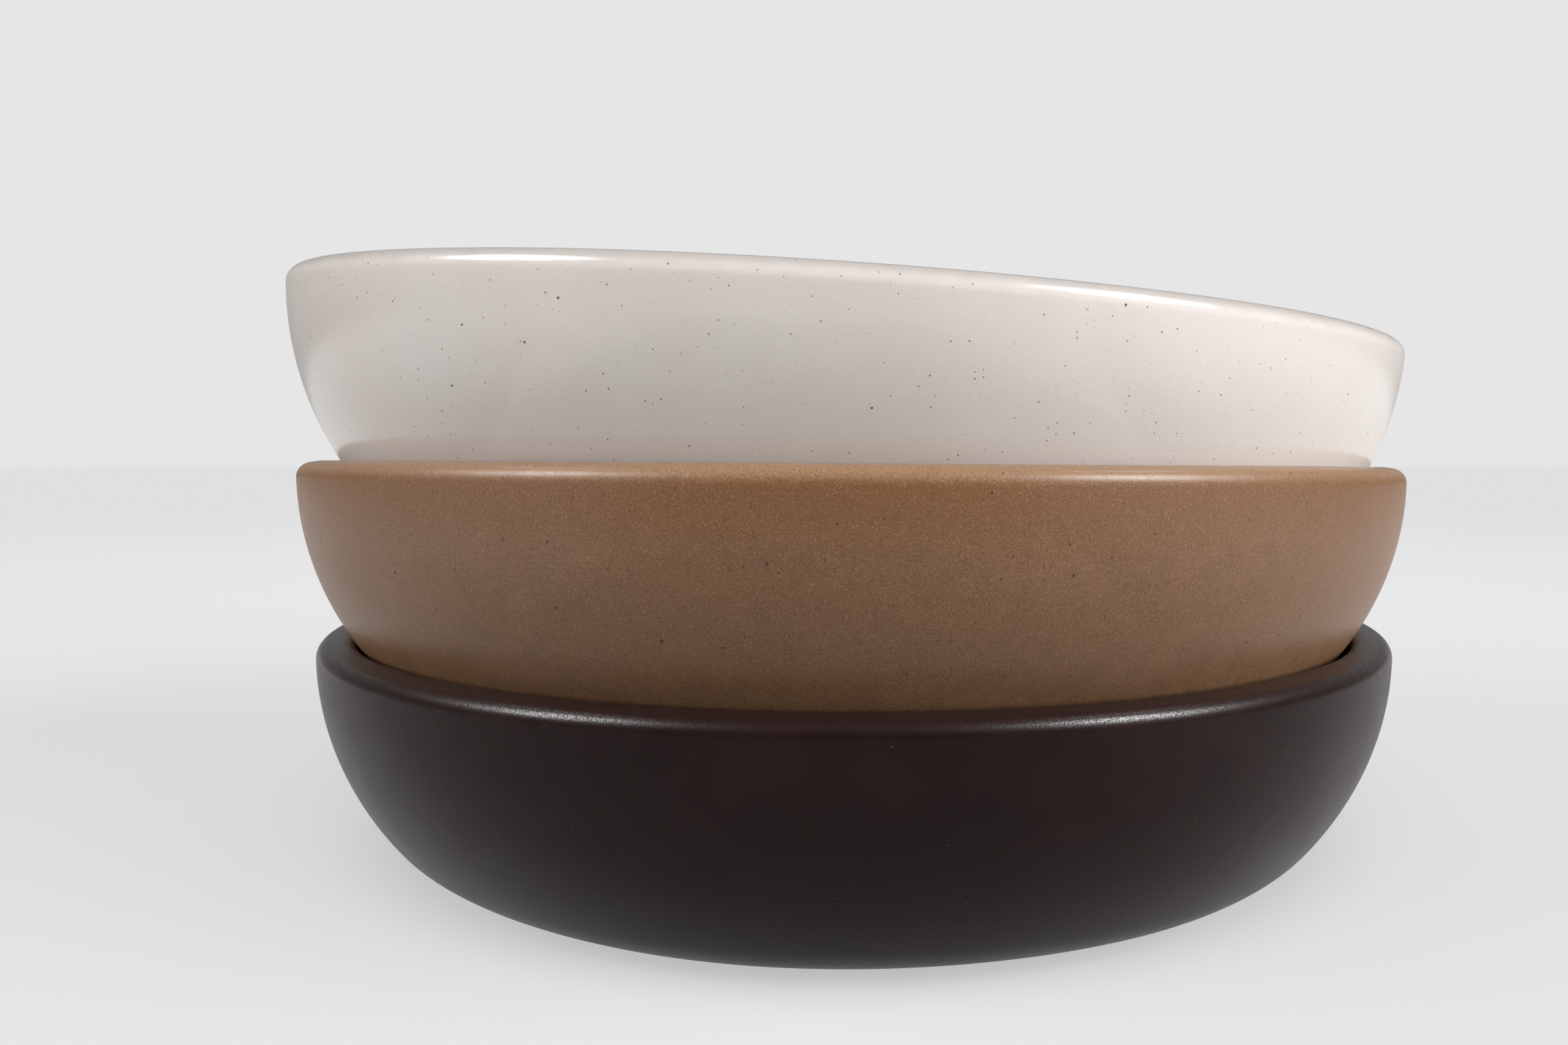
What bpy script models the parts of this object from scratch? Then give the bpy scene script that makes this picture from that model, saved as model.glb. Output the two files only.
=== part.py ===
"""Three shallow stoneware bowls in a nested stack: dark below, tan in the middle, white on top.

Metres, +Z up. The origin is the centre of the dark bowl's foot, on the surface it stands on.
The upper bowls sit in the rims of the bowls below them, the white one tipped towards +X and -Y.
"""
import math

import bpy
from mathutils import Euler, Vector

# Driving sizes of one bowl, in section.
RIM_RADIUS = 0.105
HEIGHT = 0.0404
WALL_ARC = 0.0518
FOOT_TURN = 0.0155
FLOOR_TURN = 0.017
FLOOR_TOP = 0.007
LIP_OUTER_CORNER = 0.0026
LIP_INNER_CORNER = 0.0024
LIP_FALL = math.radians(9)
FOOT_RING_WIDTH = 0.006
FOOT_RECESS = 0.002
FOOT_CHAMFER = 0.001

# How the bowls differ from each other: the dark one shrank a little more in the kiln and has
# a thicker wall, and the white one is a little larger, with a straighter wall.
DARK_SCALE = 0.983
WHITE_SCALE = 1.0059
DARK_WALL = 0.0069
PALE_WALL = 0.0062
WHITE_WALL_ARC = 0.0553

# Where the upper bowls sit: the centre of each rim, and its turn about X and Y. The tan bowl is
# all but level. The white one is tipped down towards +X and, less so, towards -Y.
TAN_RIM_CENTRE = Vector((-0.0004, 0.0, 0.0705))
TAN_TURN = Euler((0.0, math.radians(0.35), 0.0))
WHITE_RIM_CENTRE = Vector((-0.0009, 0.0010, 0.1003))
WHITE_TURN = Euler((math.radians(3.2), math.radians(3.8), 0.0))

TURN_STEPS = 64
TURN_PIECES = 4
MERGE_DISTANCE = 0.00005


def clear_scene():
    for old in list(bpy.data.objects):
        bpy.data.objects.remove(old, do_unlink=True)


def new_collection(name):
    collection = bpy.data.collections.new(name)
    bpy.context.scene.collection.children.link(collection)
    return collection


def glaze(name, colour, roughness):
    material = bpy.data.materials.new(name)
    material.use_nodes = True
    shader = material.node_tree.nodes["Principled BSDF"]
    shader.inputs["Base Color"].default_value = (*colour, 1.0)
    shader.inputs["Roughness"].default_value = roughness
    shader.inputs["Metallic"].default_value = 0.0
    return material


def arc(centre, radius, start, end, pieces):
    """Points of an arc in the (radius, height) plane, both ends included."""
    points = []
    for step in range(pieces + 1):
        angle = start + (end - start) * step / pieces
        points.append((centre[0] + radius * math.cos(angle), centre[1] + radius * math.sin(angle)))
    return points


def lip_corners(wall):
    """Centres of the lip's outer and inner corners, joined by a straight top that falls outwards."""
    inner = (RIM_RADIUS - wall + LIP_INNER_CORNER, HEIGHT - LIP_INNER_CORNER)
    outer_radius = RIM_RADIUS - LIP_OUTER_CORNER
    drop = (outer_radius - inner[0]) * math.tan(LIP_FALL)
    corner_step = (LIP_OUTER_CORNER - LIP_INNER_CORNER) / math.cos(LIP_FALL)
    return (outer_radius, inner[1] - drop - corner_step), inner


def wall_and_turn(centre, radius, turn_radius, level, wall_pieces):
    """An upright wall that curves in from the rim, and the tighter turn that brings it level.

    Both run downwards. The wall's arc stops where the turn's arc, which ends on the level
    surface, meets it at a tangent.
    """
    sweep = math.asin((centre[1] - level - turn_radius) / (radius - turn_radius))
    turn_centre = (centre[0] + (radius - turn_radius) * math.cos(sweep), level + turn_radius)
    wall = arc(centre, radius, 0.0, -sweep, wall_pieces)
    curl = arc(turn_centre, turn_radius, -sweep, -math.pi / 2, TURN_PIECES)
    return wall + curl[1:]


def bowl_section(wall, wall_arc):
    """Half section, from the middle of the floor over the lip to the middle of the underside."""
    lip_top = math.pi / 2 - LIP_FALL
    outer_corner, inner_corner = lip_corners(wall)
    centre = (RIM_RADIUS - wall_arc, outer_corner[1])
    inside = wall_and_turn(centre, wall_arc - wall, FLOOR_TURN, FLOOR_TOP, 4)
    outside = wall_and_turn(centre, wall_arc, FOOT_TURN, 0.0, 7)
    ring_inside = outside[-1][0] - FOOT_RING_WIDTH

    section = [(0.0, FLOOR_TOP)]
    section += inside[:0:-1]
    section += arc(inner_corner, LIP_INNER_CORNER, math.pi, lip_top, 4)
    section += arc(outer_corner, LIP_OUTER_CORNER, lip_top, 0.0, 3)
    section += outside[1:]
    section += [
        (ring_inside, 0.0),
        (ring_inside - FOOT_CHAMFER, FOOT_RECESS),
        (0.0, FOOT_RECESS),
    ]
    return section


def turn(name, section, collection):
    """Turn a half section about Z into one closed bowl."""
    mesh = bpy.data.meshes.new(name)
    edges = [(step, step + 1) for step in range(len(section) - 1)]
    mesh.from_pydata([(radius, 0.0, height) for radius, height in section], edges, [])
    bowl = bpy.data.objects.new(name, mesh)
    collection.objects.link(bowl)
    screw = bowl.modifiers.new("turned", 'SCREW')
    screw.axis = 'Z'
    screw.steps = TURN_STEPS
    screw.render_steps = TURN_STEPS
    screw.use_merge_vertices = True
    screw.merge_threshold = MERGE_DISTANCE
    screw.use_smooth_shade = True
    return bowl


def add_bowl(name, section, scale, material, collection, stack):
    bowl = turn(name, [(radius * scale, height * scale) for radius, height in section], collection)
    bowl.data.materials.append(material)
    bowl.parent = stack
    return bowl


def seat(bowl, scale, rim_centre, rim_turn):
    """Put a bowl's rim centre at its place, with the bowl turned about that point."""
    bowl.rotation_euler = rim_turn
    bowl.location = rim_centre - rim_turn.to_matrix() @ Vector((0.0, 0.0, HEIGHT * scale))


def main():
    clear_scene()
    collection = new_collection("bowl_stack")
    stack = bpy.data.objects.new("stack_centre", None)
    collection.objects.link(stack)

    dark_glaze = glaze("dark_glaze", (0.028, 0.019, 0.019), 0.38)
    tan_glaze = glaze("tan_glaze", (0.38, 0.21, 0.10), 0.42)
    white_glaze = glaze("white_glaze", (0.69, 0.64, 0.60), 0.25)

    dark_section = bowl_section(DARK_WALL, WALL_ARC)
    tan_section = bowl_section(PALE_WALL, WALL_ARC)
    white_section = bowl_section(PALE_WALL, WHITE_WALL_ARC)

    add_bowl("dark_bowl", dark_section, DARK_SCALE, dark_glaze, collection, stack)
    tan_bowl = add_bowl("tan_bowl", tan_section, 1.0, tan_glaze, collection, stack)
    white_bowl = add_bowl("white_bowl", white_section, WHITE_SCALE, white_glaze, collection, stack)

    seat(tan_bowl, 1.0, TAN_RIM_CENTRE, TAN_TURN)
    seat(white_bowl, WHITE_SCALE, WHITE_RIM_CENTRE, WHITE_TURN)


main()
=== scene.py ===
"""The looks of a nested stack of three stoneware bowls: dark, tan and white, from the floor up.

Metres, +Z up. Each bowl is turned afresh, finer than its solid, and put where the solid stands.
"""

import math

import bpy
import numpy as np
from bpy.props import FloatProperty, FloatVectorProperty, IntProperty, PointerProperty
from mathutils import Euler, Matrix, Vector, noise


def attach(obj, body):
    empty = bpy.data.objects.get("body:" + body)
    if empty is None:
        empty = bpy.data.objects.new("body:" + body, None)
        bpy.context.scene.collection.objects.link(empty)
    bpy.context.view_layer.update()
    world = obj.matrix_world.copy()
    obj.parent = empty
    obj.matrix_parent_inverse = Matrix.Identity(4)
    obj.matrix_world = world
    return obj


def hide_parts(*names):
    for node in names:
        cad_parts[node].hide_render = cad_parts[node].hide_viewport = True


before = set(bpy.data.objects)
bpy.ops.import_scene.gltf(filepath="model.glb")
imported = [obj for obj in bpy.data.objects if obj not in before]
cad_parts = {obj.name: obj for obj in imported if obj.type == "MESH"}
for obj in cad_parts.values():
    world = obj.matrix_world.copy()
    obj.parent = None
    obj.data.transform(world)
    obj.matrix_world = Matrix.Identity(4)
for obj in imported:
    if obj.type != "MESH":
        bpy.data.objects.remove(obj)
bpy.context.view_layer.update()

bl_info = {
    "name": "Nested Stoneware Bowls",
    "version": (1, 0, 0),
    "blender": (4, 5, 0),
    "location": "View3D > Sidebar > Bowls",
    "description": "Turns and glazes three nested stoneware bowls and sets up their studio",
    "category": "Add Mesh",
}

MM = 0.001
UP = Vector((0.0, 0.0, 1.0))

# How many straight pieces each stretch of the section is drawn with.
FLOOR_PIECES = 26
TURN_PIECES = 14
INNER_WALL_PIECES = 26
LIP_CORNER_PIECES = 12
LIP_TOP_PIECES = 3
OUTER_WALL_PIECES = 36
RING_PIECES = 4
RING_EDGE_PIECES = 5
UNDERSIDE_PIECES = 20
MERGE_DISTANCE = 0.02 * MM

# The waver's blobs for each metre, the depth below the rim where the throwing ridge starts, and
# how much deeper it has its full height.
WAVER_PER_METRE = 22.0
RIDGE_START = 6 * MM
RIDGE_FADE = 12 * MM

# Sizes of the fine grain in each glaze.
WHITE_GRAIN = 0.22 * MM
TAN_GRAIN = 0.24 * MM
DARK_GRAIN = 0.2 * MM

# The heights between which the glaze begins over a bare foot ring, and how thick it is there.
GLAZE_LINE_START = 0.8 * MM
GLAZE_LINE_END = 1.2 * MM
GLAZE_THICKNESS = 0.1 * MM

# Roughness at the smoothest places of each surface, and how strongly each glaze mirrors.
CLAY_ROUGHNESS = 0.9
FLOOR_ROUGHNESS = 0.85
WHITE_ROUGHNESS = 0.14
TAN_ROUGHNESS = 0.33
DARK_ROUGHNESS = 0.30
COAT_ROUGHNESS = 0.26
WHITE_SPECULAR = 0.5
TAN_SPECULAR = 0.3
DARK_SPECULAR = 0.14

# The floor: how far it reaches, how far below the foot it lies, and where it fades into the air.
FLOOR_RADIUS = 40.0
FLOOR_SIDES = 64
FLOOR_DROP = 0.05 * MM
FADE_START = 0.15
FADE_END = 1.6

# Where the Mix node keeps its colours, among its inputs and its outputs.
MIX_FIRST = 6
MIX_SECOND = 7
MIX_RESULT = 2


# Sizes and colours a user would change


def length(name, description, default):
    return FloatProperty(name=name, description=description, default=default, min=0.0,
                         unit='LENGTH', precision=5)


def angle(name, description, degrees):
    return FloatProperty(name=name, description=description, default=math.radians(degrees),
                         subtype='ANGLE')


def amount(name, description, default):
    return FloatProperty(name=name, description=description, default=default, precision=4)


def colour(name, description, default):
    return FloatVectorProperty(name=name, description=description, default=default, size=3,
                               subtype='COLOR', min=0.0, max=1.0)


class BowlShape(bpy.types.PropertyGroup):
    """The section that the bowls share, for a rim of full size, and how they stray from it."""

    rim_radius: length("Rim radius", "Outer radius of a rim of full size", 0.105)
    pale_wall: length("Pale walls", "Wall of the tan and the white bowl", 0.0062)
    dark_wall: length("Dark wall", "Wall of the dark bowl", 0.0069)
    wall_arc: length("Wall arc", "Radius of the wall's outside, in section", 0.0518)
    white_wall_arc: length("White wall arc", "The same on the white bowl, a little straighter", 0.0553)
    foot_turn: length("Foot turn", "Radius of the turn from the wall to the underside", 0.0155)
    floor_turn: length("Floor turn", "Radius of the turn from the wall to the floor", 0.017)
    floor_top: length("Floor top", "Height of the floor's top", 0.007)
    lip_outer: length("Outer lip corner", "Radius of the lip's outer corner", 0.0026)
    lip_inner: length("Inner lip corner", "Radius of the lip's inner corner", 0.0024)
    lip_fall: angle("Lip fall", "Slope of the lip's top, falling outwards", 9)
    ring_width: length("Foot ring", "Width of the bare ring the bowl stands on", 0.006)
    ring_edge: length("Foot ring edge", "Rounding of the foot ring's inner edge", 0.0008)
    recess: length("Foot recess", "Depth of the hollow inside the foot ring", 0.002)
    waver: length("Waver", "How far a hand-thrown wall strays from true", 0.00012)
    throwing_ridge: length("Throwing ridge", "Height of the spiral ridge left inside", 0.00016)
    throwing_pitch: length("Throwing pitch", "Rise of that ridge for each turn", 0.0062)
    steps: IntProperty(name="Steps", description="Steps round each bowl", default=240, min=32)


class GlazeColours(bpy.types.PropertyGroup):
    """The colours of the three glazes, of the specks in them and of the bare clay."""

    white: colour("White glaze", "Body of the white glaze", (0.575, 0.532, 0.503))
    white_cloud: colour("White clouds", "Warm clouds in the white glaze", (0.56, 0.508, 0.47))
    # Painted shade: the white lip is darker so that its upturned top, which takes more light, looks no
    # brighter than the wall.
    white_lip_shade: colour("White lip", "Lip of the white bowl, where the glaze is thin", (0.335, 0.31, 0.294))
    white_grain: colour("White grain", "Fine grain in the white glaze", (0.42, 0.36, 0.32))
    faint_speck: colour("Faint specks", "Sunken grey specks in the white", (0.36, 0.30, 0.25))
    brown_speck: colour("Brown specks", "Small brown specks in the white", (0.17, 0.075, 0.035))
    iron_speck: colour("Iron specks", "Sparse dark specks in the white", (0.06, 0.03, 0.018))
    tan: colour("Tan glaze", "Body of the tan glaze", (0.159, 0.0870, 0.0465))
    tan_band: colour("Tan band", "Richer band below the tan rim", (0.147, 0.0708, 0.0310))
    tan_lip: colour("Tan lip", "Lip of the tan bowl, where the glaze is thin", (0.205, 0.119, 0.064))
    tan_grain: colour("Tan grain", "Dark grain in the tan glaze", (0.09, 0.038, 0.015))
    pale_grain: colour("Pale grain", "Pale grain in the tan glaze", (0.34, 0.23, 0.155))
    cream_speck: colour("Cream specks", "Tiny pale specks in the tan", (0.45, 0.35, 0.26))
    red_speck: colour("Reddish specks", "Tiny reddish specks in the tan", (0.075, 0.033, 0.018))
    tan_speck: colour("Tan's specks", "Sparse dark specks in the tan", (0.035, 0.016, 0.010))
    blot: colour("Blots", "Blue-black blots in the tan", (0.022, 0.020, 0.026))
    dark: colour("Dark glaze", "Body of the dark glaze", (0.0090, 0.0036, 0.0035))
    dark_lip: colour("Dark lip", "Lip of the dark bowl, where the glaze is thin", (0.012, 0.0055, 0.0052))
    dark_grain: colour("Dark grain", "Fine grain in the dark glaze", (0.012, 0.007, 0.006))
    pinprick: colour("Pinpricks", "Pale pinpricks in the dark glaze", (0.16, 0.14, 0.13))
    clay: colour("Bare clay", "Unglazed clay of the foot rings", (0.27, 0.19, 0.135))
    grit: colour("Grit", "Dark grit in the bare clay", (0.06, 0.04, 0.03))


class StudioSettings(bpy.types.PropertyGroup):
    """The camera, the lights and the surface below."""

    floor: colour("Floor", "Floor below the stack", (0.203, 0.203, 0.203))
    far_floor: colour("Far floor", "Floor where it fades into the air", (0.162, 0.162, 0.162))
    floor_glow: amount("Floor glow", "Light that comes up through the floor", 0.475)
    air_seen: amount("Seen air", "Brightness of the air where it shows behind the floor", 0.79)
    air_back: amount("Back air", "Light of the air behind the stack", 0.3)
    lens: amount("Lens", "Focal length, in millimetres", 25.49)
    distance: length("Camera distance", "From the stack's middle to the camera", 0.2349)
    height: length("Camera height", "Height of the camera over the floor", 0.0703)
    tip: angle("Camera tip", "How far the camera looks down", 3.575)
    shift_x: amount("Shift X", "Camera shift to the side", -0.0446)
    shift_y: amount("Shift Y", "Camera shift upwards", 0.0074)
    right_light: amount("Right light", "Power of the low soft light at the right", 8.0)
    right_side: angle("Right light's side", "How far round from the front it stands", 73)
    left_light: amount("Left light", "Power of the low soft light at the left", 5.0)
    left_side: angle("Left light's side", "How far round from the front it stands", -79)
    side_rise: angle("Side lights' rise", "Their height over the horizon", 10)
    side_width: angle("Side lights' width", "How wide they are, seen from the stack", 60)
    front_light: amount("Front light", "Power of the high soft light at the front", 2.5)
    front_rise: angle("Front light's rise", "Its height over the horizon", 62)
    front_width: angle("Front light's width", "How wide it is, seen from the stack", 40)
    right_glint: amount("Right glint", "Power of the panel that glints in the rims at the right", 2.9)
    right_glint_side: angle("Right glint's side", "How far round from the front it stands", 70)
    left_glint: amount("Left glint", "Power of the panel that glints in the rims at the left", 2.0)
    left_glint_side: angle("Left glint's side", "How far round from the front it stands", -76)
    glint_rise: angle("Glints' rise", "Their height over the horizon", 44)
    glint_width: angle("Glints' width", "How wide they are, seen from the stack", 24)


# Measuring the solids


class Seat:
    """Where a bowl stands, measured from its solid: foot, axis, height and rim."""

    def __init__(self, node):
        points = self.corner_points(node)
        middle = points.mean(axis=0)
        spread, directions = np.linalg.eigh(np.cov((points - middle).T))
        axis = directions[:, int(np.argmin(spread))]
        axis = axis * math.copysign(1.0, axis[2])
        along = (points - middle) @ axis
        across = points - middle - np.outer(along, axis)
        self.foot = Vector(middle + axis * along.min())
        self.height = float(along.max() - along.min())
        self.rim_radius = float(np.linalg.norm(across, axis=1).max())
        self.turn = UP.rotation_difference(Vector(axis)).to_euler()

    @staticmethod
    def corner_points(node):
        """The solid's corners, once each, so that each ring of them counts the same all round."""
        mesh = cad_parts[node].data
        points = np.zeros(len(mesh.vertices) * 3)
        mesh.vertices.foreach_get("co", points)
        return np.unique(points.reshape(-1, 3).round(6), axis=0)


# Drawing a section and turning it


def on_arc(centre, radius, turn):
    """The point of a circle at an angle counted from +X towards +Z."""
    return (centre[0] + radius * math.cos(turn), centre[1] + radius * math.sin(turn))


class SectionPen:
    """Draws a half section in the XZ plane in edit mode, from its last point on."""

    def __init__(self, name, start):
        bpy.ops.object.select_all(action='DESELECT')
        bpy.ops.mesh.primitive_plane_add(size=MM)
        self.piece = bpy.context.object
        self.piece.name = name
        self.piece.data.name = name
        bpy.ops.object.mode_set(mode='EDIT')
        bpy.ops.mesh.merge(type='CENTER')
        bpy.ops.transform.translate(value=(start[0], 0.0, start[1]))
        self.at = start

    def line(self, end, pieces=1):
        step = ((end[0] - self.at[0]) / pieces, 0.0, (end[1] - self.at[1]) / pieces)
        for _ in range(pieces):
            bpy.ops.mesh.extrude_vertices_move(TRANSFORM_OT_translate={"value": step})
        self.at = end

    def arc(self, centre, end_angle, pieces):
        """On round a centre, to an angle counted from +X towards +Z."""
        start_angle = math.atan2(self.at[1] - centre[1], self.at[0] - centre[0])
        if start_angle < end_angle - math.pi:
            start_angle += 2 * math.pi
        bpy.ops.mesh.spin(steps=pieces, angle=end_angle - start_angle, axis=(0.0, 1.0, 0.0),
                          center=(centre[0], 0.0, centre[1]))
        radius = math.hypot(self.at[0] - centre[0], self.at[1] - centre[1])
        self.at = on_arc(centre, radius, end_angle)

    def turn(self, steps):
        """Spins the section about Z into a closed shape, with its faces pointing out."""
        bpy.ops.mesh.select_all(action='SELECT')
        bpy.ops.mesh.spin(steps=steps, angle=2 * math.pi, axis=UP, center=(0.0, 0.0, 0.0))
        bpy.ops.mesh.select_all(action='SELECT')
        bpy.ops.mesh.remove_doubles(threshold=MERGE_DISTANCE)
        bpy.ops.mesh.normals_make_consistent(inside=False)
        bpy.ops.object.mode_set(mode='OBJECT')
        return self.piece


class Wall:
    """One face of the wall in section: an upright arc, then a tighter turn that ends level."""

    def __init__(self, centre, radius, turn_radius, level):
        self.centre = centre
        self.sweep = math.asin((centre[1] - level - turn_radius) / (radius - turn_radius))
        self.turn_centre = on_arc(centre, radius - turn_radius, -self.sweep)
        self.level = level

    def foot(self):
        return (self.turn_centre[0], self.level)


def draw_bowl(name, shape, height, wall, wall_arc):
    """The half section of one bowl, from the middle of its floor to the middle of its underside."""
    lip_top = math.pi / 2 - shape.lip_fall
    inner = (shape.rim_radius - wall + shape.lip_inner, height - shape.lip_inner)
    outer_radius = shape.rim_radius - shape.lip_outer
    drop = (outer_radius - inner[0]) * math.tan(shape.lip_fall)
    corner_step = (shape.lip_outer - shape.lip_inner) / math.cos(shape.lip_fall)
    outer = (outer_radius, inner[1] - drop - corner_step)
    centre = (shape.rim_radius - wall_arc, outer[1])
    inside = Wall(centre, wall_arc - wall, shape.floor_turn, shape.floor_top)
    outside = Wall(centre, wall_arc, shape.foot_turn, 0.0)

    pen = SectionPen(name, (0.0, shape.floor_top))
    pen.line(inside.foot(), FLOOR_PIECES)
    pen.arc(inside.turn_centre, -inside.sweep, TURN_PIECES)
    pen.arc(centre, 0.0, INNER_WALL_PIECES)
    pen.line((pen.at[0], inner[1]))
    pen.arc(inner, lip_top, LIP_CORNER_PIECES)
    pen.line(on_arc(outer, shape.lip_outer, lip_top), LIP_TOP_PIECES)
    pen.arc(outer, 0.0, LIP_CORNER_PIECES)
    pen.arc(centre, -outside.sweep, OUTER_WALL_PIECES)
    pen.arc(outside.turn_centre, -math.pi / 2, TURN_PIECES)
    draw_foot_ring(pen, shape)
    return pen


def draw_foot_ring(pen, shape):
    """The level ring, its rounded inner edge, and the shallow hollow inside it."""
    edge = shape.ring_edge
    ring_inside = pen.at[0] - shape.ring_width
    pen.line((ring_inside, 0.0), RING_PIECES)
    pen.arc((ring_inside, edge), -math.pi, RING_EDGE_PIECES)
    pen.line((ring_inside - edge, shape.recess - edge))
    pen.arc((ring_inside - 2 * edge, shape.recess - edge), math.pi / 2, RING_EDGE_PIECES)
    pen.line((0.0, shape.recess), UNDERSIDE_PIECES)


def stray(bowl, shape, height):
    """Moves the skin a little: a slow waver all over, and a spiral ridge inside, off the lip."""
    corners = bowl.data.vertices
    moved = []
    for place, normal in [(corner.co.copy(), corner.normal.copy()) for corner in corners]:
        shift = shape.waver * noise.noise(place * WAVER_PER_METRE)
        depth = height - place.z
        faces_in = normal.dot(2.0 * UP * height - place) > 0.0
        inside = faces_in and place.z > shape.floor_top - MM
        if inside and depth > RIDGE_START:
            fade = min(1.0, (depth - RIDGE_START) / RIDGE_FADE)
            turns = (math.hypot(place.x, place.y) - depth) / shape.throwing_pitch
            turns += math.atan2(place.y, place.x) / (2 * math.pi)
            shift += shape.throwing_ridge * fade * math.sin(2 * math.pi * turns)
        moved.extend(place + normal * shift)
    corners.foreach_set("co", moved)
    bowl.data.update()


def put_in_seat(bowl, seat, scale):
    """Puts the turned shape where its solid stands, with its place in its mesh."""
    bpy.ops.object.shade_smooth()
    bowl.scale = (scale, scale, scale)
    bowl.rotation_euler = seat.turn
    bowl.location = seat.foot
    bpy.ops.object.transform_apply(location=True, rotation=True, scale=True)


def make_bowl(node, body, wall, wall_arc, glaze):
    """One bowl, turned, strayed, placed on its solid's seat, glazed and tied to the frame."""
    shape = bpy.context.scene.bowl_shape
    seat = Seat(node)
    scale = seat.rim_radius / shape.rim_radius
    height = seat.height / scale
    bowl = draw_bowl(node + "_glazed", shape, height, wall, wall_arc).turn(shape.steps)
    stray(bowl, shape, height)
    put_in_seat(bowl, seat, scale)
    bowl.data.materials.append(glaze(seat))
    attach(bowl, body)
    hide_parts(node)
    return bowl


# Shader maths


class Value:
    """A number on its way through a material. Python's operators add Math nodes to it."""

    def __init__(self, paint, socket):
        self.paint = paint
        self.socket = socket

    def out(self, name):
        """Another output of the node that this one comes from."""
        return Value(self.paint, self.socket.node.outputs[name])

    def math(self, operation, *others):
        values = dict(enumerate((self, *others)))
        return self.paint.node("ShaderNodeMath", {"operation": operation}, values)

    def __add__(self, other):
        return self.math('ADD', other)

    def __mul__(self, other):
        return self.math('MULTIPLY', other)

    def __sub__(self, other):
        return self.math('SUBTRACT', other)

    def __rsub__(self, other):
        return self * -1.0 + other

    __radd__ = __add__
    __rmul__ = __mul__

    def rise(self, low, high):
        """0 below low, 1 above high, and smooth between. With low above high it falls instead."""
        return self.paint.node("ShaderNodeMapRange", {"interpolation_type": 'SMOOTHSTEP'},
                               {"Value": self, "From Min": low, "From Max": high})


class Paint:
    """A material in the making, with its pattern on the bowl's own coordinates."""

    def __init__(self, name, seat=None):
        self.material = bpy.data.materials.new(name)
        self.material.use_nodes = True
        self.tree = self.material.node_tree
        self.shader = self.tree.nodes["Principled BSDF"]
        self.place = self.node("ShaderNodeTexCoord", {}, {}, "Object")
        if seat:
            self.place = self.node("ShaderNodeMapping", {"vector_type": 'TEXTURE'},
                                   {"Vector": self.place, "Location": seat.foot, "Rotation": seat.turn})
        across = self.node("ShaderNodeSeparateXYZ", {}, {"Vector": self.place}, "X")
        along = across.out("Y")
        self.radius = (across * across + along * along).math('SQRT')
        self.height = across.out("Z")
        if seat:
            self.depth = seat.height - self.height

    def fill(self, socket, value):
        """Links a value to a socket, or sets the socket to a number, a vector or a colour."""
        if isinstance(value, Value):
            self.tree.links.new(value.socket, socket)
        elif socket.type == 'RGBA':
            socket.default_value = (*value, 1.0)
        else:
            socket.default_value = value

    def node(self, kind, settings, sockets, output=0):
        """Adds one node, sets it up, fills its sockets, and gives one of its outputs."""
        node = self.tree.nodes.new(kind)
        for name, value in settings.items():
            setattr(node, name, value)
        for name, value in sockets.items():
            self.fill(node.inputs[name], value)
        return Value(self, node.outputs[output])

    def cloud(self, size, detail=2.0, rough=0.5, output="Fac"):
        """Soft noise whose blobs are about that size, from 0 to 1."""
        sockets = {"Vector": self.place, "Scale": 1.0 / size, "Detail": detail, "Roughness": rough}
        return self.node("ShaderNodeTexNoise", {}, sockets, output)

    def wobble(self, size, amount):
        """The bowl's coordinates, shaken by that amount, so that round spots turn ragged."""
        shake = self.cloud(size, output="Color")
        return self.node("ShaderNodeVectorMath", {"operation": 'MULTIPLY_ADD'},
                         {0: shake, 1: (amount, amount, amount), 2: self.place})

    def spots(self, spacing, radius, share=1.0, blur=0.4, place=None):
        """Spots of up to that radius, at most one in each cell of that spacing, in a share of them."""
        cells = self.node("ShaderNodeTexVoronoi", {},
                          {"Vector": place or self.place, "Scale": 1.0 / spacing})
        luck = self.node("ShaderNodeSeparateXYZ", {}, {"Vector": cells.out("Color")}, "X")
        reach = (luck - (1.0 - share)) * (radius / share)
        return (reach - cells * spacing).rise(0.0, blur * radius)

    def near_rim(self, ends, full, blobs, waver, detail=3.0):
        """1 from the rim down to the full depth, 0 below where it ends, and the edge wavers."""
        return (self.depth + self.cloud(blobs, detail=detail) * waver).rise(ends, full)

    def mix(self, factor, first, second):
        """The first colour where the factor is 0, the second where it is 1."""
        return self.node("ShaderNodeMix", {"data_type": 'RGBA'},
                         {0: factor, MIX_FIRST: first, MIX_SECOND: second}, MIX_RESULT)

    def specked(self, colour, spacing, radius, strength, speck, blur=0.4):
        """The colour with spots of the speck's colour strewn over it."""
        return self.mix(self.spots(spacing, radius, blur=blur) * strength, colour, speck)

    def finish(self, colour, roughness, relief=None, specular=0.0, coat=None):
        """Feeds the shader. The relief is a height in metres, the coat the share that glints."""
        feeds = {"Base Color": colour, "Roughness": roughness, "Metallic": 0.0,
                 "Specular IOR Level": specular}
        if relief is not None:
            feeds["Normal"] = self.node("ShaderNodeBump", {},
                                        {"Strength": 1.0, "Distance": 1.0, "Height": relief})
        if coat is not None:
            feeds["Coat Weight"] = coat
            feeds["Coat Roughness"] = COAT_ROUGHNESS
        for name, value in feeds.items():
            self.fill(self.shader.inputs[name], value)
        return self.material


def scaled(colour, factor):
    return [factor * part for part in colour]


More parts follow.
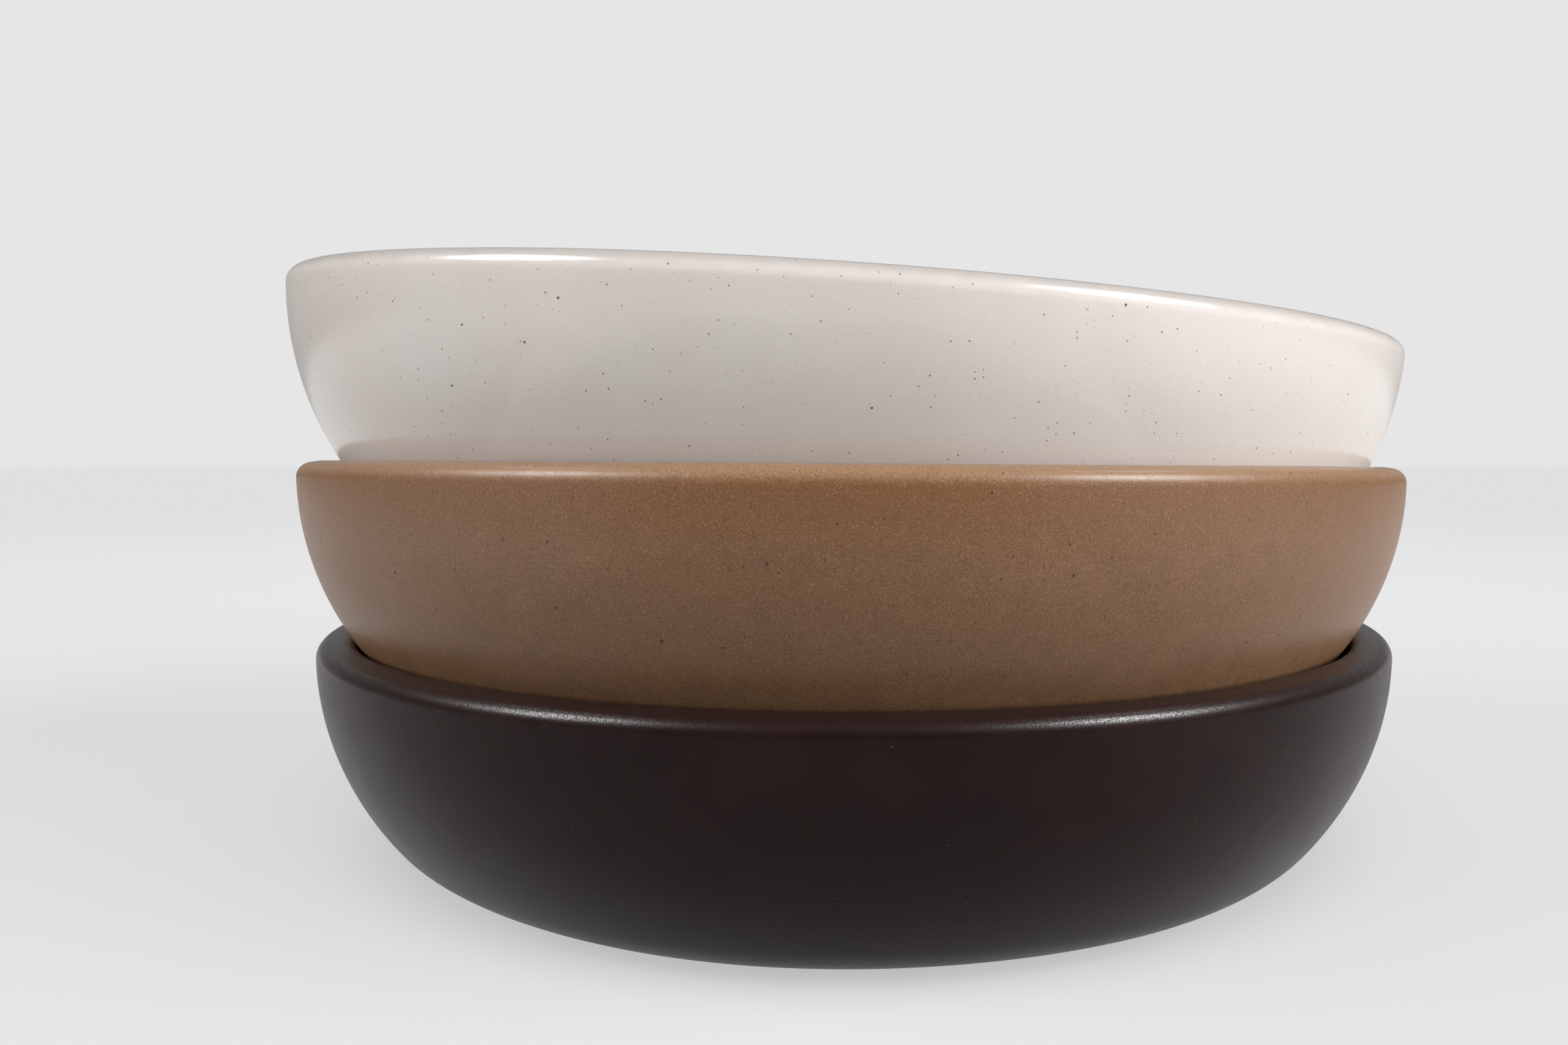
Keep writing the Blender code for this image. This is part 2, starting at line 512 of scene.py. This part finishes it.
def over_bare_clay(paint, colour, roughness, relief):
    """Leaves the foot ring bare below a slightly wavy glaze line, with grains of grit in the clay."""
    colours = bpy.context.scene.glaze_colours
    line = paint.height + paint.cloud(6 * MM) * (0.7 * MM)
    glazed = line.rise(GLAZE_LINE_START, GLAZE_LINE_END)
    clay = paint.mix(paint.cloud(1.1 * MM, detail=3.0), scaled(colours.clay, 0.75), colours.clay)
    clay = paint.mix(paint.spots(1.6 * MM, 0.22 * MM), clay, colours.grit)
    tooth = paint.cloud(0.5 * MM, detail=3.0) * (0.06 * MM)
    colour = paint.mix(glazed, clay, colour)
    roughness = CLAY_ROUGHNESS - glazed * (CLAY_ROUGHNESS - roughness)
    relief = tooth + glazed * (relief + GLAZE_THICKNESS - tooth)
    return colour, roughness, relief


def white_glaze(seat):
    """Glossy, clouded off-white with sparse brown specks and a few faint grey ones."""
    colours = bpy.context.scene.glaze_colours
    paint = Paint("white_glaze", seat)
    grain = paint.cloud(WHITE_GRAIN)
    clouds = paint.cloud(22 * MM, detail=3.0).rise(0.35, 0.7)
    colour = paint.mix(clouds, colours.white, colours.white_cloud)
    # Painted shade: the band at the rim, whose top faces the lights, is darkened so that it looks no
    # brighter than the wall below.
    lip = paint.near_rim(3.0 * MM, 0.6 * MM, 4 * MM, 0.6 * MM, detail=2.0)
    colour = paint.mix(lip, colour, colours.white_lip_shade)
    colour = paint.mix(grain.rise(0.45, 0.8) * 0.3, colour, colours.white_grain)
    colour = paint.specked(colour, 1.9 * MM, 0.34 * MM, 0.35, colours.faint_speck, blur=0.8)
    colour = paint.specked(colour, 1.1 * MM, 0.16 * MM, 0.95, colours.brown_speck)
    colour = paint.specked(colour, 2.3 * MM, 0.25 * MM, 0.95, colours.iron_speck, blur=0.5)
    pinpricks = paint.spots(3 * MM, 0.12 * MM)
    peel = paint.cloud(4.5 * MM, detail=1.0) * (0.025 * MM) + grain * (0.008 * MM)
    relief = peel - pinpricks * (0.03 * MM)
    roughness = WHITE_ROUGHNESS + paint.cloud(8 * MM) * 0.08
    surface = over_bare_clay(paint, colour, roughness, relief)
    return paint.finish(*surface, specular=WHITE_SPECULAR)


def tan_glaze(seat):
    """Satin tan, freckled all over, richer below a pale lip and greyer lower down."""
    colours = bpy.context.scene.glaze_colours
    paint = Paint("tan_glaze", seat)
    mottle = paint.cloud(4.5 * MM, detail=4.0, rough=0.65)
    grain = paint.cloud(TAN_GRAIN)
    colour = paint.mix(mottle.rise(0.3, 0.7), scaled(colours.tan, 0.93), scaled(colours.tan, 1.06))
    band = paint.near_rim(16 * MM, 7 * MM, 2.5 * MM, 6 * MM)
    colour = paint.mix(band * 0.9, colour, colours.tan_band)
    lip = paint.near_rim(3.2 * MM, 1.2 * MM, 2 * MM, 1.2 * MM)
    colour = paint.mix(lip, colour, colours.tan_lip)
    colour = paint.mix(grain.rise(0.50, 0.70) * 0.55, colour, colours.tan_grain)
    colour = paint.mix(grain.rise(0.46, 0.28) * 0.28, colour, colours.pale_grain)
    colour = paint.specked(colour, 1.0 * MM, 0.10 * MM, 0.3, colours.cream_speck)
    colour = paint.specked(colour, 0.8 * MM, 0.12 * MM, 0.7, colours.red_speck)
    colour = paint.specked(colour, 1.4 * MM, 0.21 * MM, 0.95, colours.tan_speck, blur=0.5)
    ragged = paint.wobble(0.6 * MM, 0.4 * MM)
    small_blots = paint.spots(4.6 * MM, 0.34 * MM, blur=0.5, place=ragged)
    large_blots = paint.spots(10 * MM, 0.75 * MM, share=0.7, place=ragged)
    colour = paint.mix(small_blots.math('MAXIMUM', large_blots) * 0.9, colour, colours.blot)
    relief = paint.cloud(3.5 * MM) * (0.02 * MM) + grain * (0.022 * MM)
    roughness = TAN_ROUGHNESS + mottle * 0.12
    coat = lip * grain.rise(0.35, 0.65) * 0.6
    surface = over_bare_clay(paint, colour, roughness, relief)
    return paint.finish(*surface, specular=TAN_SPECULAR, coat=coat)


def dark_glaze(seat):
    """Dark satin, thin and reddish over the lip, with a fine sparkle and a few pale pinpricks."""
    colours = bpy.context.scene.glaze_colours
    paint = Paint("dark_glaze", seat)
    mottle = paint.cloud(10 * MM, detail=4.0)
    grain = paint.cloud(DARK_GRAIN)
    colour = paint.mix(mottle.rise(0.3, 0.7), scaled(colours.dark, 0.85), scaled(colours.dark, 1.15))
    lip = paint.near_rim(3.6 * MM, 1.4 * MM, 2 * MM, 1.2 * MM)
    colour = paint.mix(lip, colour, colours.dark_lip)
    colour = paint.mix(grain.rise(0.55, 0.75) * 0.5, colour, colours.dark_grain)
    pinpricks = paint.spots(2.4 * MM, 0.12 * MM)
    colour = paint.mix(pinpricks * 0.5, colour, colours.pinprick)
    relief = paint.cloud(4 * MM) * (0.02 * MM) + grain * (0.03 * MM) - pinpricks * (0.04 * MM)
    roughness = DARK_ROUGHNESS + mottle * 0.1
    coat = lip * grain.rise(0.35, 0.65)
    surface = over_bare_clay(paint, colour, roughness, relief)
    return paint.finish(*surface, specular=DARK_SPECULAR, coat=coat)


# Studio


def make_floor(settings):
    """A wide pale light table, a hair below the foot, that fades into the air around it."""
    bpy.ops.object.select_all(action='DESELECT')
    bpy.ops.mesh.primitive_circle_add(vertices=FLOOR_SIDES, radius=FLOOR_RADIUS, fill_type='NGON',
                                      location=(0.0, 0.0, -FLOOR_DROP))
    bpy.ops.object.transform_apply(location=True)
    floor = bpy.context.object
    floor.name = "floor"
    floor.visible_diffuse = False
    paint = Paint("floor_paper")
    far = paint.radius.rise(FADE_START, FADE_END)
    colour = paint.mix(far, settings.floor, settings.far_floor)
    paint.finish(colour, FLOOR_ROUGHNESS + paint.cloud(10 * MM) * 0.1)
    paint.fill(paint.shader.inputs["Emission Color"], (1.0, 1.0, 1.0))
    paint.fill(paint.shader.inputs["Emission Strength"], settings.floor_glow)
    floor.data.materials.append(paint.material)


def soft_light(name, side, rise, width, power):
    """A distant soft light. Side is counted from the front, rise from the horizon."""
    level = Vector((0.0, -math.cos(rise), math.sin(rise)))
    aim = Euler((0.0, 0.0, side)).to_matrix() @ level
    bpy.ops.object.light_add(type='SUN', rotation=aim.to_track_quat('Z', 'Y').to_euler())
    light = bpy.context.object
    light.name = name
    light.data.energy = power
    light.data.angle = width
    return light


def make_lights(settings):
    """Low light from both sides and high light from the front, and two panels seen in the rims."""
    rise, width = settings.side_rise, settings.side_width
    washes = (
        soft_light("right_light", settings.right_side, rise, width, settings.right_light),
        soft_light("left_light", settings.left_side, rise, width, settings.left_light),
        soft_light("front_light", 0.0, settings.front_rise, settings.front_width, settings.front_light),
    )
    for wash in washes:
        wash.visible_glossy = False
    rise, width = settings.glint_rise, settings.glint_width
    glints = (
        soft_light("right_glint", settings.right_glint_side, rise, width, settings.right_glint),
        soft_light("left_glint", settings.left_glint_side, rise, width, settings.left_glint),
    )
    for glint in glints:
        glint.visible_diffuse = False


def make_air(settings):
    """A little light from behind, and a pale air where it shows."""
    world = bpy.data.worlds.new("studio_air")
    world.use_nodes = True
    bpy.context.scene.world = world
    tree = world.node_tree
    shader = tree.nodes["Background"]
    direction = tree.nodes.new("ShaderNodeTexCoord")
    split = tree.nodes.new("ShaderNodeSeparateXYZ")
    behind = tree.nodes.new("ShaderNodeMapRange")
    seen = tree.nodes.new("ShaderNodeLightPath")
    choose = tree.nodes.new("ShaderNodeMix")
    behind.interpolation_type = 'SMOOTHSTEP'
    behind.inputs["To Max"].default_value = settings.air_back
    choose.inputs["B"].default_value = settings.air_seen
    shader.inputs["Color"].default_value = (1.0, 1.0, 1.0, 1.0)
    tree.links.new(direction.outputs["Generated"], split.inputs[0])
    tree.links.new(split.outputs["Y"], behind.inputs["Value"])
    tree.links.new(seen.outputs["Is Camera Ray"], choose.inputs["Factor"])
    tree.links.new(behind.outputs[0], choose.inputs["A"])
    tree.links.new(choose.outputs[0], shader.inputs["Strength"])


def make_camera(settings):
    """The camera at the viewing angle, and a plain view of the colours."""
    tip = math.pi / 2 - settings.tip
    bpy.ops.object.camera_add(location=(0.0, -settings.distance, settings.height),
                              rotation=(tip, 0.0, 0.0))
    camera = bpy.context.object
    camera.name = "studio_camera"
    camera.data.lens = settings.lens
    camera.data.shift_x = settings.shift_x
    camera.data.shift_y = settings.shift_y
    camera.data.clip_start = 10 * MM
    bpy.context.scene.camera = camera
    bpy.context.scene.view_settings.view_transform = 'Standard'


# Operators and panel


class BOWLS_OT_dark_bowl(bpy.types.Operator):
    """Turn and glaze the dark bowl at the bottom"""

    bl_idname = "bowls.dark_bowl"
    bl_label = "Dark Bowl"

    def execute(self, context):
        shape = context.scene.bowl_shape
        make_bowl("dark_bowl", "dark", shape.dark_wall, shape.wall_arc, dark_glaze)
        return {'FINISHED'}


class BOWLS_OT_tan_bowl(bpy.types.Operator):
    """Turn and glaze the tan bowl in the middle"""

    bl_idname = "bowls.tan_bowl"
    bl_label = "Tan Bowl"

    def execute(self, context):
        shape = context.scene.bowl_shape
        make_bowl("tan_bowl", "tan", shape.pale_wall, shape.wall_arc, tan_glaze)
        return {'FINISHED'}


class BOWLS_OT_white_bowl(bpy.types.Operator):
    """Turn and glaze the white bowl on top"""

    bl_idname = "bowls.white_bowl"
    bl_label = "White Bowl"

    def execute(self, context):
        shape = context.scene.bowl_shape
        wall_arc = shape.white_wall_arc
        make_bowl("white_bowl", "white", shape.pale_wall, wall_arc, white_glaze)
        return {'FINISHED'}


class BOWLS_OT_studio(bpy.types.Operator):
    """Set up the backdrop, the lights and the camera"""

    bl_idname = "bowls.studio"
    bl_label = "Studio"

    def execute(self, context):
        settings = context.scene.studio_settings
        make_floor(settings)
        make_air(settings)
        make_lights(settings)
        make_camera(settings)
        return {'FINISHED'}


class BOWLS_PT_stack(bpy.types.Panel):
    """Lists what builds the stack of bowls"""

    bl_label = "Bowls"
    bl_idname = "BOWLS_PT_stack"
    bl_space_type = 'VIEW_3D'
    bl_region_type = 'UI'
    bl_category = "Bowls"

    def draw(self, context):
        for operator in (BOWLS_OT_dark_bowl, BOWLS_OT_tan_bowl, BOWLS_OT_white_bowl, BOWLS_OT_studio):
            self.layout.operator(operator.bl_idname)


CLASSES = (
    BowlShape,
    GlazeColours,
    StudioSettings,
    BOWLS_OT_dark_bowl,
    BOWLS_OT_tan_bowl,
    BOWLS_OT_white_bowl,
    BOWLS_OT_studio,
    BOWLS_PT_stack,
)


def register():
    for each in CLASSES:
        bpy.utils.register_class(each)
    bpy.types.Scene.bowl_shape = PointerProperty(type=BowlShape)
    bpy.types.Scene.glaze_colours = PointerProperty(type=GlazeColours)
    bpy.types.Scene.studio_settings = PointerProperty(type=StudioSettings)


def unregister():
    del bpy.types.Scene.studio_settings
    del bpy.types.Scene.glaze_colours
    del bpy.types.Scene.bowl_shape
    for each in reversed(CLASSES):
        bpy.utils.unregister_class(each)


def main():
    register()
    bpy.ops.bowls.dark_bowl()
    bpy.ops.bowls.tan_bowl()
    bpy.ops.bowls.white_bowl()
    bpy.ops.bowls.studio()


if __name__ == "__main__":
    main()
